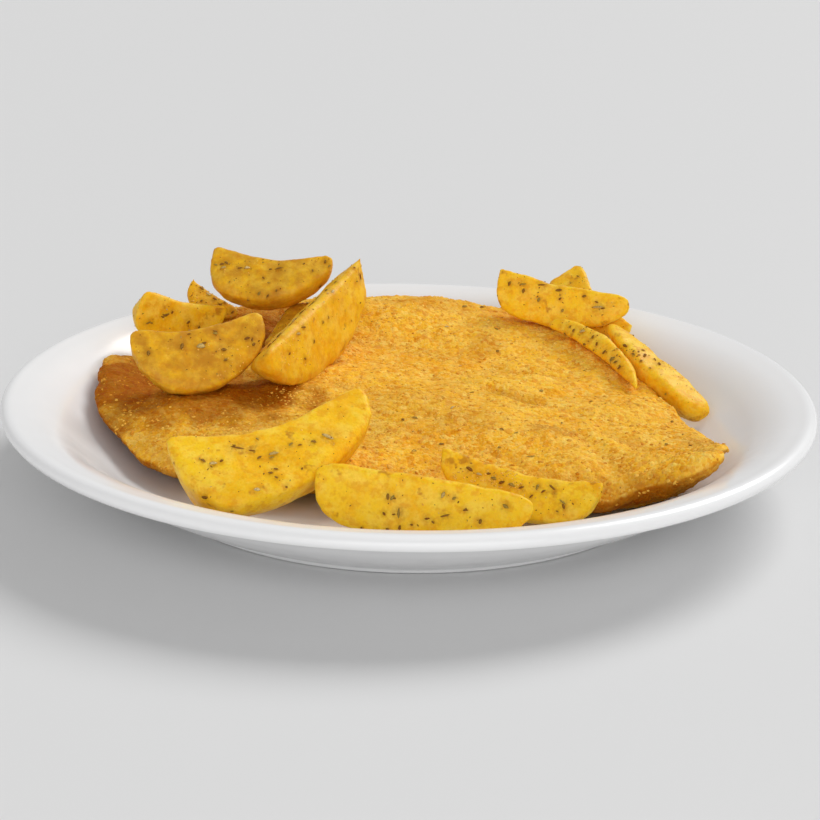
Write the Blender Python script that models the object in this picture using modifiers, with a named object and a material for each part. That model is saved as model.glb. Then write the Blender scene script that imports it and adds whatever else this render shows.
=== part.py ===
"""A breaded schnitzel on a round white plate, with roasted potato wedges heaped on and around it.

Units are metres. +Z is up, the plate's foot ring stands on z = 0 and its axis is the Z axis.
The viewer's side of the plate is -Y.
"""

import math
from collections import namedtuple

import bmesh
import bpy
from mathutils import Vector

MM = 0.001

# ---------------------------------------------------------------- plate
PLATE_RADIUS = 140 * MM
PLATE_STEPS = 64
FOOT_OUTER = 90 * MM
FOOT_INNER = 86 * MM
FLOOR_Z = 8 * MM
RIM_Z = 32 * MM

# ---------------------------------------------------------------- schnitzel
CUTLET_CENTRE = Vector((-2 * MM, 22 * MM))
CUTLET_THICKNESS = 15.5 * MM
REST_GAP = 0.5 * MM
CUTLET_SECTORS = 52
CUTLET_RINGS = 15
# Outline round the centre, from the right anticlockwise: (bearing in degrees, reach in mm).
CUTLET_OUTLINE = (
    (0, 93), (22, 91), (40, 92), (60, 90), (78, 91), (96, 93), (114, 95), (134, 100), (152, 102),
    (164, 104.5), (172, 109), (182, 110), (196, 108), (205, 105), (214, 105), (223, 102), (232, 96),
    (250, 85), (268, 84), (284, 87), (298, 103), (308, 122), (314, 133), (320, 136), (326, 129),
    (334, 119), (341, 109), (351, 100),
)

# ---------------------------------------------------------------- potato wedges
WEDGE_SECTORS = 14
WEDGE_RINGS = 12
CUT_FACE_SHARE = 0.29
# The three points span the cut face that shows: the two ends of its sharp edge and the lowest
# point of its curved edge, in mm. Then the angle between the wedge's two cut faces in degrees
# (negative: the body lies on the other side of that face), how far the sharp edge sags between
# its ends in mm, how blunt each end is, and how far each end's corner is rounded off, as a
# share of the wedge's depth.
Wedge = namedtuple("Wedge", "start end low spread sag bluntness corner")
WEDGES = {
    "wedge_front_left": Wedge(
        start=(-78.5, -63, 38.5), end=(-17.5, -42, 49.5), low=(-47, -85.6, 23.2),
        spread=45, sag=10, bluntness=(2.5, 3), corner=(0.2, 0.25),
    ),
    "wedge_front_middle": Wedge(
        start=(-28, -79, 34), end=(39, -92, 28), low=(2, -90, 10),
        spread=50, sag=-1, bluntness=(3.5, 2), corner=(0.2, 0.2),
    ),
    "wedge_front_right": Wedge(
        start=(12, -59.4, 32), end=(62, -76, 28), low=(38.5, -82.6, 16.2),
        spread=45, sag=3.6, bluntness=(3, 2), corner=(0.1, 0.14),
    ),
    "wedge_left_front": Wedge(
        start=(-99.6, 8, 52), end=(-53.9, 22, 55.2), low=(-78, -6, 31),
        spread=42, sag=4.8, bluntness=(1.5, 3), corner=(0.3, 0.2),
    ),
    "wedge_left_back": Wedge(
        start=(-98, 52, 53.8), end=(-68, 64, 44), low=(-92, 54, 30),
        spread=50, sag=3.5, bluntness=(3, 2.5), corner=(0.45, 0.2),
    ),
    "wedge_left_far": Wedge(
        start=(-84, 86, 45.8), end=(-65, 78, 37), low=(-81, 76.2, 37.2),
        spread=46, sag=0.5, bluntness=(2.5, 2), corner=(0, 0.3),
    ),
    "wedge_left_top": Wedge(
        start=(-74, 82, 63.6), end=(-28, 70, 63.4), low=(-56, 56, 47.2),
        spread=60, sag=5.8, bluntness=(3, 1.5), corner=(0.2, 0.3),
    ),
    "wedge_left_right": Wedge(
        start=(-49, -4, 46), end=(-19, 60, 62), low=(-26, 34, 30),
        spread=58, sag=0.5, bluntness=(2.5, 2.5), corner=(0.1, 0),
    ),
    "wedge_left_under": Wedge(
        start=(-52, 43, 33.4), end=(-33, 65, 43.4), low=(-42, 67, 32.4),
        spread=52, sag=2, bluntness=(2, 2), corner=(0.2, 0.2),
    ),
    "wedge_right_front": Wedge(
        start=(35, 89, 53), end=(84, 73, 47), low=(52, 76, 33),
        spread=43, sag=2, bluntness=(4, 2), corner=(0.1, 0.3),
    ),
    "wedge_right_far": Wedge(
        start=(70, 110, 51.7), end=(89, 73, 35.5), low=(57, 97, 36),
        spread=38, sag=6, bluntness=(4.5, 2.5), corner=(0.3, 0.4),
    ),
    "wedge_right_low": Wedge(
        start=(53, 70, 34), end=(81, 21, 26), low=(74, 46, 36),
        spread=-60, sag=2, bluntness=(3, 1.5), corner=(0, 0),
    ),
    "wedge_right_side": Wedge(
        start=(77.5, 63, 38.3), end=(110, 18, 21), low=(90, 32, 19),
        spread=-52, sag=-1, bluntness=(2, 3.5), corner=(0.2, 0.4),
    ),
}

# ---------------------------------------------------------------- materials
FINISHES = {
    "porcelain": ((0.90, 0.90, 0.91), 0.12),
    "breadcrumb": ((0.74, 0.36, 0.07), 0.62),
    "potato": ((0.83, 0.52, 0.06), 0.42),
}


def make_material(name):
    """A Principled material in the finish's colour and roughness."""
    colour, roughness = FINISHES[name]
    material = bpy.data.materials.new(name)
    material.use_nodes = True
    shader = material.node_tree.nodes["Principled BSDF"]
    shader.inputs["Base Color"].default_value = (*colour, 1)
    shader.inputs["Roughness"].default_value = roughness
    shader.inputs["Metallic"].default_value = 0
    return material


def add_object(name, mesh, material, collection, sharp_degrees):
    """A named object of this mesh, smooth where its faces meet at less than the angle."""
    mesh.materials.append(material)
    mesh.shade_smooth()
    mesh.set_sharp_from_angle(angle=math.radians(sharp_degrees))
    obj = bpy.data.objects.new(name, mesh)
    collection.objects.link(obj)
    return obj


def unit_sphere(name, sectors, rings):
    """A sphere of radius 1 with its poles on the Z axis, as a mesh."""
    shape = bmesh.new()
    bmesh.ops.create_uvsphere(shape, u_segments=sectors, v_segments=rings, radius=1)
    mesh = bpy.data.meshes.new(name)
    shape.to_mesh(mesh)
    shape.free()
    return mesh


def smoothstep(low, high, value):
    """0 below low, 1 above high, and a smooth rise between them."""
    t = min(1.0, max(0.0, (value - low) / (high - low)))
    return t * t * (3 - 2 * t)


# ---------------------------------------------------------------- plate


def plate_profile():
    """(radius, height) from the rim's top inwards over the well to the axis, and the underside."""
    upper = (
        (PLATE_RADIUS, RIM_Z - 2.6 * MM),
        (PLATE_RADIUS - 0.8 * MM, RIM_Z - 0.8 * MM),
        (PLATE_RADIUS - 2.8 * MM, RIM_Z),
        (PLATE_RADIUS - 6 * MM, RIM_Z - 0.5 * MM),
        (PLATE_RADIUS - 9.8 * MM, RIM_Z - 1.4 * MM),
        (PLATE_RADIUS - 13.2 * MM, RIM_Z - 2.7 * MM),
        (PLATE_RADIUS - 16.8 * MM, RIM_Z - 4.7 * MM),
        (PLATE_RADIUS - 20.5 * MM, RIM_Z - 7.4 * MM),
        (PLATE_RADIUS - 24.5 * MM, FLOOR_Z + 13 * MM),
        (PLATE_RADIUS - 29 * MM, FLOOR_Z + 9.3 * MM),
        (PLATE_RADIUS - 34 * MM, FLOOR_Z + 5.8 * MM),
        (PLATE_RADIUS - 40 * MM, FLOOR_Z + 2.8 * MM),
        (PLATE_RADIUS - 46 * MM, FLOOR_Z + 0.9 * MM),
        (PLATE_RADIUS - 52 * MM, FLOOR_Z),
        (0, FLOOR_Z),
    )
    lower = (
        (0, 2.6 * MM),
        (FOOT_INNER - 3 * MM, 2.6 * MM),
        (FOOT_INNER, 0),
        (FOOT_OUTER, 0),
        (FOOT_OUTER + 1.5 * MM, 1.8 * MM),
        (FOOT_OUTER + 7 * MM, 4.4 * MM),
        (FOOT_OUTER + 14 * MM, 8.1 * MM),
        (FOOT_OUTER + 21 * MM, 12.1 * MM),
        (FOOT_OUTER + 27 * MM, 16.2 * MM),
        (FOOT_OUTER + 31.5 * MM, 19.8 * MM),
        (FOOT_OUTER + 36 * MM, 23 * MM),
        (FOOT_OUTER + 41 * MM, 25.4 * MM),
        (PLATE_RADIUS - 3 * MM, RIM_Z - 5.2 * MM),
        (PLATE_RADIUS - 0.9 * MM, RIM_Z - 4.4 * MM),
    )
    return upper, lower


def build_plate(collection, material):
    """The turned plate: its closed profile swept once round the axis with a Screw modifier."""
    upper, lower = plate_profile()
    # The profile runs down the outer side, so that the turned faces point out.
    path = [upper[0]] + list(reversed(lower)) + list(reversed(upper[1:]))
    mesh = bpy.data.meshes.new("plate")
    points = [(radius, 0, height) for radius, height in path]
    edges = [(i, (i + 1) % len(points)) for i in range(len(points))]
    axis_pair = [i for i, point in enumerate(points) if point[0] == 0]
    edges.remove((min(axis_pair), max(axis_pair)))
    mesh.from_pydata(points, edges, [])
    plate = add_object("plate", mesh, material, collection, 40)
    screw = plate.modifiers.new("turn", "SCREW")
    screw.axis = "Z"
    screw.steps = PLATE_STEPS
    screw.render_steps = PLATE_STEPS
    screw.use_merge_vertices = True
    screw.merge_threshold = 0.00001
    return plate


# ---------------------------------------------------------------- schnitzel


def outline_reach(bearing):
    """The schnitzel's reach from its centre at a bearing in radians, on a smooth closed curve."""
    degrees = math.degrees(bearing) % 360
    count = len(CUTLET_OUTLINE)
    index = max(i for i in range(count) if CUTLET_OUTLINE[i][0] <= degrees)

    def knot(step):
        angle, reach = CUTLET_OUTLINE[(index + step) % count]
        return angle + 360 * ((index + step) // count), reach

    (a0, r0), (a1, r1), (a2, r2), (a3, r3) = (knot(step) for step in (-1, 0, 1, 2))
    t = (degrees - a1) / (a2 - a1)
    start_slope = (r2 - r0) / (a2 - a0) * (a2 - a1)
    end_slope = (r3 - r1) / (a3 - a1) * (a2 - a1)
    reach = (
        (2 * t**3 - 3 * t**2 + 1) * r1
        + (t**3 - 2 * t**2 + t) * start_slope
        + (3 * t**2 - 2 * t**3) * r2
        + (t**3 - t**2) * end_slope
    )
    return reach * MM


def well_height(x, y):
    """The height of the plate's upper surface under a point, read off its profile."""
    upper, _ = plate_profile()
    radius = math.hypot(x, y)
    inner_to_outer = list(reversed(upper))
    for (r1, z1), (r2, z2) in zip(inner_to_outer, inner_to_outer[1:]):
        if r1 <= radius <= r2:
            return z1 + (z2 - z1) * (radius - r1) / (r2 - r1)
    return RIM_Z


def cutlet_swell(x, y):
    """Broad low swellings of the crust, in metres."""
    u, v = x / MM, y / MM
    swell = 1.1 * math.sin(u / 19 + 0.8) * math.cos(v / 17)
    swell += 0.9 * math.sin((u + v) / 13 + 1.4)
    swell += 0.6 * math.cos((u - 1.7 * v) / 11)
    return swell * MM


def build_cutlet(collection, material):
    """A sphere spread into the outline and pressed flat, so that it lies in the well and up its wall."""
    mesh = unit_sphere("schnitzel", CUTLET_SECTORS, CUTLET_RINGS)
    for vertex in mesh.vertices:
        x, y, z = vertex.co
        bearing = math.atan2(y, x)
        across = math.hypot(x, y)
        spread = across**0.8 if across < 1 else 1.0
        reach = outline_reach(bearing) * spread
        px = CUTLET_CENTRE.x + reach * math.cos(bearing)
        py = CUTLET_CENTRE.y + reach * math.sin(bearing)
        back_lift = FLOOR_Z + 13 * MM * smoothstep(40 * MM, 112 * MM, py)
        rest = max(well_height(px, py), back_lift) + REST_GAP
        height = math.copysign(abs(z) ** 0.55, z)
        crown = 2.5 * MM * (1 - across**2)
        half = CUTLET_THICKNESS / 2
        pz = rest + half + height * half
        if z > 0:
            pz += (crown + cutlet_swell(px, py)) * min(1, 2.2 * z)
        vertex.co = (px, py, pz)
    return add_object("schnitzel", mesh, material, collection, 60)


# ---------------------------------------------------------------- potato wedges


def wedge_section(turn, spread):
    """A point of a wedge's section as (depth, side), for a turn of 0 to 1 from the sharp edge.

    The section is a slice of a unit disc: one cut face, the round back, the other cut face.
    """
    if turn < CUT_FACE_SHARE:
        depth = turn / CUT_FACE_SHARE
        angle = 0.0
    elif turn > 1 - CUT_FACE_SHARE:
        depth = (1 - turn) / CUT_FACE_SHARE
        angle = spread
    else:
        depth = 1.0
        angle = spread * (turn - CUT_FACE_SHARE) / (1 - 2 * CUT_FACE_SHARE)
    return depth * math.cos(angle), depth * math.sin(angle)


def sharp_edge_drop(wedge, station, depth):
    """How far the sharp edge lies below the line between its ends, at a station of -1 to 1."""
    corner = wedge.corner[0] if station < 0 else wedge.corner[1]
    rounding = corner * depth * (1 - math.sqrt(max(0.0, 1 - station**8)))
    return rounding + wedge.sag * MM * (1 - station**2)


def curved_edge_drop(wedge, station, depth):
    """How far the curved edge lies below the same line."""
    corner = wedge.corner[0] if station < 0 else wedge.corner[1]
    power = wedge.bluntness[0] if station < 0 else wedge.bluntness[1]
    swell = max(0.0, 1 - abs(station) ** power) ** (1 / power)
    return corner * depth + (1 - corner) * depth * swell


def build_wedge(name, collection, material):
    """A potato wedge: a sphere whose poles become its two ends and whose sides follow the slice."""
    wedge = WEDGES[name]
    start, end, low = (Vector(point) * MM for point in (wedge.start, wedge.end, wedge.low))
    middle = (start + end) / 2
    along = (end - start).normalized()
    half_length = (end - start).length / 2
    lean = (low - middle).dot(along) / half_length
    down = (low - middle) - along * (low - middle).dot(along)
    depth = down.length
    down.normalize()
    side = along.cross(down) * math.copysign(1, wedge.spread)
    spread = math.radians(abs(wedge.spread))
    mesh = unit_sphere(name, WEDGE_SECTORS, WEDGE_RINGS)
    for vertex in mesh.vertices:
        x, y, z = vertex.co
        turn = (math.atan2(y, x) / math.tau) % 1.0
        section_depth, section_side = wedge_section(turn, spread)
        top = sharp_edge_drop(wedge, z, depth)
        body = curved_edge_drop(wedge, z - lean * (1 - z * z), depth) - top
        drop = top + body * section_depth
        vertex.co = middle + along * (half_length * z) + down * drop + side * (body * section_side)
    face_outwards(mesh)
    return add_object(name, mesh, material, collection, 50)


def face_outwards(mesh):
    """Turn the faces of a closed mesh to point out of it."""
    shape = bmesh.new()
    shape.from_mesh(mesh)
    bmesh.ops.recalc_face_normals(shape, faces=shape.faces)
    if shape.calc_volume(signed=True) < 0:
        bmesh.ops.reverse_faces(shape, faces=shape.faces)
    shape.to_mesh(mesh)
    shape.free()


def main():
    for obj in list(bpy.data.objects):
        bpy.data.objects.remove(obj)
    collection = bpy.data.collections.new("schnitzel_plate")
    bpy.context.scene.collection.children.link(collection)
    materials = {name: make_material(name) for name in FINISHES}
    build_plate(collection, materials["porcelain"])
    build_cutlet(collection, materials["breadcrumb"])
    for name in WEDGES:
        build_wedge(name, collection, materials["potato"])


main()
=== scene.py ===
"""Dresses the schnitzel plate: glazed porcelain, a crumbed and fried crust, oiled potato wedges,
dried herbs, pepper and loose crumbs.

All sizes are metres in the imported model's frame: +Z up, the plate's foot stands on z = 0 and the
viewer's side is -Y.
"""

import math

import bmesh
import bpy
import numpy as np
from mathutils import Matrix, Vector, noise
from mathutils.bvhtree import BVHTree


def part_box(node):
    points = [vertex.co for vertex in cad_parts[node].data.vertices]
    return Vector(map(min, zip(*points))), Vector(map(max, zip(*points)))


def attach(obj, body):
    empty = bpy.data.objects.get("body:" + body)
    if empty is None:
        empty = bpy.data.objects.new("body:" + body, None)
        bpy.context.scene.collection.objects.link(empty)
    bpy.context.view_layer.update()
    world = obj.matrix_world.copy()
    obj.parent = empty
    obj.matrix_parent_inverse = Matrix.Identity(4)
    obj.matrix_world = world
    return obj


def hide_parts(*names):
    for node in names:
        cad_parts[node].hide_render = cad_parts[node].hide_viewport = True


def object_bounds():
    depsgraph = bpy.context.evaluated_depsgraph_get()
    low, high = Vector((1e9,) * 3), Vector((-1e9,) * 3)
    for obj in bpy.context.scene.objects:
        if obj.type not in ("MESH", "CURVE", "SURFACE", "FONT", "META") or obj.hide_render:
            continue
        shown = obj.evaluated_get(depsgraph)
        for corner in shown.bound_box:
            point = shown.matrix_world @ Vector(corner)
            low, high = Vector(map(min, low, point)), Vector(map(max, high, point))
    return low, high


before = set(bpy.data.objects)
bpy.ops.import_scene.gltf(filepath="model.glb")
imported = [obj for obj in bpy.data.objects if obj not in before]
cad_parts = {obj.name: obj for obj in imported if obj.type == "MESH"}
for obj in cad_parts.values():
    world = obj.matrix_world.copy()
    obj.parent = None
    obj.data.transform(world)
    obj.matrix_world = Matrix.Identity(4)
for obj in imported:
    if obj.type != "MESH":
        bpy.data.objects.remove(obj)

CAD_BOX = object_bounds()
MM = 0.001

# ---------------------------------------------------------------- camera and light
CAMERA_PLACE = Vector((0.4, -663.2, 247.2)) * MM
CAMERA_TARGET = Vector((0.4, 0, 23.2)) * MM
CAMERA_LENS = 87.85
CAMERA_ROLL = math.radians(0.95)
# name: bearing round the plate from the viewer's side towards +X, height above the floor and
# width of the light in degrees, and its strength.
LIGHTS = {
    "key_light": (138, 44, 30, 1.7),
    "front_fill": (5, 12, 60, 1.62),
}
ROOM_LIGHT = 0.46
FLOOR_COLOUR = (0.72, 0.72, 0.72)
FLOOR_SIZE = 60.0
FLOOR_GAP = 0.2 * MM

# ---------------------------------------------------------------- fineness of the meshes
PLATE_STEPS = 192
PROFILE_SUBSTEPS = 4
WELD_DISTANCE = 0.01 * MM
CRUST_VOXEL = 0.66 * MM
WEDGE_VOXEL = 0.6 * MM
# How often the solid's edges are eased, and how often the crust's folds are.
EDGE_SMOOTHINGS = 20
FOLD_SMOOTHINGS = 9
# The share of faces kept where the crust lies on the plate.
UNDERSIDE_SHARE = 0.62
# How far the wedges stay below the top of the solids.
TOP_MARGIN = 0.1 * MM

# ---------------------------------------------------------------- features of the crust
CRUST_CENTRE = np.array((-2, 22)) * MM
EDGE_DROP = 1.9 * MM
SIDE_BULGE = 1.3 * MM
# Folds in the schnitzel's edge: bearing and width in degrees, depth in mm. A negative depth
# stands out of the edge.
FOLDS = (
    (320, 2.0, 2.6), (309, 2.8, 2.0), (298, 3.5, 1.0), (331, 7, 4.0), (316, 3.5, -2.2), (346, 5, 1),
    (168, 2.4, 5), (183, 4, 1.5), (204, 4, 1), (228, 5, 1.5), (100, 6, 2), (72, 5, 1.5),
)
# Creases across its top: both ends, width and depth, in mm. A negative depth is a ridge.
CREASES = (
    (8, 27, 29, 12, 4, 1.2), (29, 12, 44, 1, 3.5, 2.2), (44, 1, 60, -8, 4, 1.3),
    (66, -24, 88, -52, 4, 1.6), (56, -30, 68, -62, 4, 1.4), (-18, 62, 22, 50, 6, 1.3),
    (-66, -22, -30, -30, 5, 1.0), (30, 40, 58, 30, 5, 1.2), (76, -40, 96, -62, 3, 1.6),
    (62, 62, 98, 16, 8, -3.8), (-72, 80, -22, 88, 12, -2.6),
)
# Dents: place, radius and depth, in mm.
DENTS = (
    (41, 33, 3.5, 2.0), (22, -24, 6, 1.2), (-92, 2, 8, 0.9), (60, 34, 7, 0.7), (-10, 0, 7, 0.6),
)
# Darker zones of the crust: middle, half width and half depth in mm, and how dark. Most are painted shadow:
# the shade the left heap of wedges casts over the crust's left end, and the dark gaps under and between the
# wedges; the rest are darker-fried patches.
BROWN_AND_SHADE_ZONES = (
    (-78, 6, 46, 32, 0.8), (-104, 22, 18, 24, 0.5), (-84, -34, 26, 10, 0.25), (28, 58, 6, 9, 0.3),
    (48, -31, 8, 6, 0.4), (22, -24, 12, 8, 0.16), (36, 7, 12, 6, 0.2), (10, 92, 30, 8, 0.2),
    (-50, -28, 14, 9, 0.2), (-54, 70, 30, 24, 0.95), (-54, 6, 16, 8, 0.45), (40, -74, 60, 8, 0.25),
    (-10, -12, 36, 30, 0.12),
)

# ---------------------------------------------------------------- features of the wedges
WEDGES = [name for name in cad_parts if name.startswith("wedge_")]
# How dry and brown each wedge looks, where it isn't fresh yellow; partly painted shade, as the wedges that
# lie in the heap's shadow, most of all wedge_left_under, are given more brown.
DRIED_AND_SHADE = {
    "wedge_left_front": 0.72, "wedge_left_top": 0.62, "wedge_left_back": 0.06, "wedge_left_far": 0.3,
    "wedge_left_under": 0.95, "wedge_left_right": 0.2, "wedge_right_low": 0.02, "wedge_right_far": 0.1,
    "wedge_right_side": 0.06,
}
# How brown the edges of some wedges are; partly painted shade, where a narrow face along the edge lies in
# shadow, in place of the painted sheen there.
BROWN_AND_SHADED_EDGES = {"wedge_left_right": 0.8, "wedge_left_far": 0.5, "wedge_left_top": 0.2, "wedge_left_back": 0.2}
# Herbs that stand out. For each: where it is seen on the wedge, as shares of the wedge's width from
# the left and of its height from the top, its length and width in mm, its turn in degrees, its kind.
HERBS = {
    "wedge_left_top": (
        (0.10, 0.29, 2.2, 1.2, 10, "brown"), (0.25, 0.35, 2.4, 1.0, 5, "brown"),
        (0.31, 0.35, 2.6, 1.5, -5, "pale"), (0.57, 0.36, 4.0, 1.0, 6, "brown"),
        (0.50, 0.37, 1.6, 0.8, 0, "brown"), (0.77, 0.28, 1.3, 0.8, 40, "brown"),
        (0.42, 0.76, 2.0, 1.2, 60, "olive"), (0.49, 0.80, 1.8, 1.0, 50, "brown"),
        (0.33, 0.86, 1.2, 0.8, 0, "olive"), (0.56, 0.72, 1.4, 0.8, 80, "brown"),
        (0.90, 0.62, 2.0, 1.2, 20, "brown"),
    ),
    "wedge_left_front": (
        (0.39, 0.42, 3.2, 1.4, 80, "brown"), (0.53, 0.42, 3.6, 2.6, 10, "pale"),
        (0.55, 0.38, 2.4, 1.2, 30, "brown"), (0.70, 0.45, 2.4, 1.4, 10, "brown"),
        (0.87, 0.31, 2.6, 1.3, 25, "brown"), (0.63, 0.26, 2.0, 1.2, 0, "olive"),
        (0.92, 0.38, 1.8, 1.2, 60, "brown"), (0.72, 0.56, 1.3, 0.9, 0, "olive"),
    ),
    "wedge_left_right": (
        (0.17, 0.71, 2.8, 1.2, 40, "brown"), (0.25, 0.63, 3.0, 1.3, 50, "olive"),
        (0.31, 0.57, 3.2, 1.5, 45, "brown"), (0.37, 0.51, 3.0, 1.4, 50, "pale"),
        (0.43, 0.45, 3.2, 1.5, 40, "brown"), (0.49, 0.39, 2.6, 1.2, 50, "brown"),
        (0.56, 0.33, 2.6, 1.1, 45, "olive"), (0.64, 0.27, 2.2, 1.0, 50, "brown"),
        (0.72, 0.20, 2.0, 0.8, 50, "brown"), (0.21, 0.68, 2.4, 1.0, 40, "brown"),
        (0.34, 0.55, 2.4, 1.1, 50, "brown"), (0.52, 0.37, 2.4, 1.0, 50, "brown"),
        (0.94, 0.14, 3.0, 0.9, -60, "brown"), (0.91, 0.18, 1.5, 0.8, 10, "olive"),
        (0.70, 0.28, 2.8, 1.4, 75, "pale"), (0.46, 0.57, 2.8, 0.9, 15, "brown"),
        (0.42, 0.62, 3.0, 1.2, 20, "pale"), (0.55, 0.67, 1.8, 0.8, 80, "brown"),
        (0.62, 0.52, 1.5, 0.8, 60, "olive"), (0.35, 0.77, 1.6, 1.0, 40, "brown"),
        (0.48, 0.80, 1.4, 0.9, -30, "brown"),
    ),
    "wedge_left_back": (
        (0.38, 0.45, 3.0, 1.2, 15, "brown"), (0.60, 0.58, 1.8, 1.1, 35, "brown"),
        (0.20, 0.62, 2.4, 0.8, 20, "olive"), (0.44, 0.40, 1.4, 0.8, 60, "brown"),
    ),
    "wedge_left_far": (
        (0.28, 0.22, 2.4, 1.0, -35, "brown"), (0.42, 0.36, 2.6, 1.1, -30, "pale"),
        (0.55, 0.48, 2.2, 1.0, -30, "brown"), (0.66, 0.62, 2.0, 1.0, -25, "brown"),
    ),
    "wedge_right_front": (
        (0.34, 0.27, 3.6, 0.8, 2, "brown"), (0.20, 0.26, 3.2, 0.8, 0, "olive"),
        (0.47, 0.36, 3.0, 1.4, 5, "brown"), (0.66, 0.46, 2.0, 1.2, 10, "brown"),
        (0.32, 0.52, 2.2, 1.3, 75, "olive"), (0.48, 0.50, 1.6, 0.9, 40, "brown"),
        (0.76, 0.64, 5.0, 1.2, 3, "pale"), (0.50, 0.70, 1.8, 1.1, 60, "olive"),
        (0.80, 0.66, 2.2, 0.8, 10, "brown"),
    ),
    "wedge_right_low": (
        (0.40, 0.20, 3.0, 1.5, -10, "pale"), (0.52, 0.28, 2.2, 1.2, 60, "brown"),
        (0.56, 0.38, 2.0, 1.0, 75, "brown"), (0.64, 0.50, 2.2, 1.3, 40, "brown"),
        (0.73, 0.60, 3.0, 1.8, 30, "olive"), (0.76, 0.64, 2.2, 1.3, 0, "brown"),
        (0.30, 0.18, 2.0, 1.1, 60, "brown"), (0.20, 0.22, 1.6, 1.0, 0, "olive"),
        (0.80, 0.72, 2.0, 1.1, 30, "brown"),
    ),
    "wedge_right_side": (
        (0.16, 0.24, 2.6, 1.5, -40, "brown"), (0.36, 0.34, 2.8, 1.2, 60, "brown"),
        (0.31, 0.40, 2.0, 1.0, 50, "brown"), (0.24, 0.33, 1.6, 0.9, 0, "olive"),
    ),
    "wedge_front_left": (
        (0.19, 0.56, 2.2, 1.2, -35, "brown"), (0.24, 0.58, 3.0, 1.6, 15, "pale"),
        (0.28, 0.56, 1.6, 1.0, 40, "brown"), (0.35, 0.46, 5.2, 0.9, -6, "brown"),
        (0.42, 0.48, 3.0, 0.8, -12, "brown"), (0.46, 0.53, 2.0, 0.9, 40, "brown"),
        (0.53, 0.50, 3.8, 1.4, 12, "pale"), (0.52, 0.53, 2.0, 0.7, 8, "olive"),
        (0.61, 0.43, 2.0, 1.0, 40, "olive"), (0.72, 0.41, 2.2, 1.2, -15, "brown"),
        (0.79, 0.37, 5.0, 1.6, -22, "pale"), (0.52, 0.64, 2.0, 1.1, -10, "brown"),
        (0.55, 0.67, 1.5, 0.9, -30, "brown"), (0.46, 0.76, 2.4, 1.4, 0, "pale"),
        (0.21, 0.82, 2.6, 1.6, 20, "brown"), (0.34, 0.92, 1.3, 0.9, 0, "olive"),
        (0.60, 0.74, 1.0, 0.7, 0, "brown"),
    ),
    "wedge_front_middle": (
        (0.39, 0.60, 4.0, 1.1, 88, "olive"), (0.395, 0.78, 1.8, 1.2, 80, "brown"),
        (0.59, 0.36, 2.6, 1.2, 65, "pale"), (0.64, 0.40, 1.6, 1.0, 30, "olive"),
        (0.29, 0.82, 1.4, 0.9, 20, "brown"), (0.34, 0.80, 1.4, 0.9, 0, "brown"),
        (0.60, 0.62, 3.4, 0.8, 15, "brown"), (0.52, 0.66, 2.0, 0.8, 10, "brown"),
        (0.76, 0.68, 1.8, 1.3, 80, "brown"), (0.37, 0.42, 1.0, 0.8, 0, "brown"),
        (0.69, 0.54, 1.6, 0.9, 20, "brown"), (0.45, 0.74, 1.2, 0.8, 0, "brown"),
    ),
    "wedge_front_right": (
        (0.18, 0.27, 3.0, 1.5, -40, "brown"), (0.24, 0.33, 2.2, 1.1, -20, "pale"),
        (0.33, 0.38, 2.4, 1.2, -20, "olive"), (0.38, 0.43, 2.4, 1.2, 10, "brown"),
        (0.44, 0.46, 2.6, 1.3, -30, "olive"), (0.50, 0.49, 2.2, 1.0, 20, "brown"),
        (0.60, 0.48, 2.6, 1.2, 70, "olive"), (0.69, 0.48, 3.2, 0.9, -50, "brown"),
        (0.75, 0.66, 2.8, 0.8, -40, "olive"), (0.56, 0.60, 1.8, 0.8, 40, "brown"),
        (0.30, 0.32, 1.6, 1.0, 0, "brown"),
    ),
}
# Herbs that stand out on the crust: x and y in mm, and the rest as above.
CRUST_HERBS = (
    (15, -14, 2.6, 1.0, 60, "pale"), (31, -33, 2.0, 1.1, -35, "brown"),
    (36, -35, 2.4, 0.8, 30, "olive"), (40, -51, 3.2, 0.7, 8, "olive"),
    (2, -20, 2.6, 1.2, -15, "olive"), (11, -39, 2.2, 1.0, 20, "brown"),
    (2, -45, 1.8, 1.2, 0, "olive"), (47, 14, 1.8, 1.1, 30, "olive"), (64, 4, 1.6, 1.0, 0, "olive"),
    (91, -9, 1.3, 1.1, 0, "brown"), (94, -35, 1.5, 1.2, 0, "brown"),
    (93, -23, 1.4, 0.6, 45, "brown"), (86, -35, 1.4, 1.0, 0, "olive"),
    (21, 92, 2.8, 1.4, 10, "olive"), (28, 95, 2.0, 1.2, 0, "brown"), (14, 71, 2.0, 1.1, 10, "pale"),
    (33, 72, 1.8, 1.1, -30, "olive"), (33, 56, 1.6, 1.0, 30, "brown"),
    (-2, -21, 1.8, 0.9, -60, "brown"), (30, -44, 1.6, 0.7, -20, "olive"),
    (22, 6, 2.0, 0.7, 5, "brown"),
)
# Clusters of pale crumbs on the crust: x and y, radius in mm, and how many.
CRUMB_CLUSTERS = (
    (-59, -30, 4, 26), (-41, 4, 9, 60), (-32, -14, 7, 40), (-92, 16, 1.2, 4), (-96, -13, 10, 26),
    (-72, -38, 12, 40), (50, -30, 5, 30), (36, 0, 8, 30), (-24, 18, 7, 30), (86, -44, 7, 30),
)
# Strips of pale crumbs on the wedges, in the same shares: middle across and down, half of each, count.
WEDGE_CRUMBS = {
    "wedge_front_right": (0.30, 0.40, 0.22, 0.13, 110),
    "wedge_left_right": (0.40, 0.76, 0.12, 0.10, 45),
    "wedge_right_side": (0.62, 0.32, 0.25, 0.12, 70),
    "wedge_left_front": (0.72, 0.60, 0.16, 0.20, 30),
}

# ---------------------------------------------------------------- how much is scattered
WEDGE_STRAY_HERBS = 30
CRUST_STRAY_HERBS = 70
WEDGE_PEPPER, CRUST_PEPPER, PLATE_PEPPER = 34, 70, 12
CRUST_CRUMBS = 4400
WEDGE_STRAY_CRUMBS = 14

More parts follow.
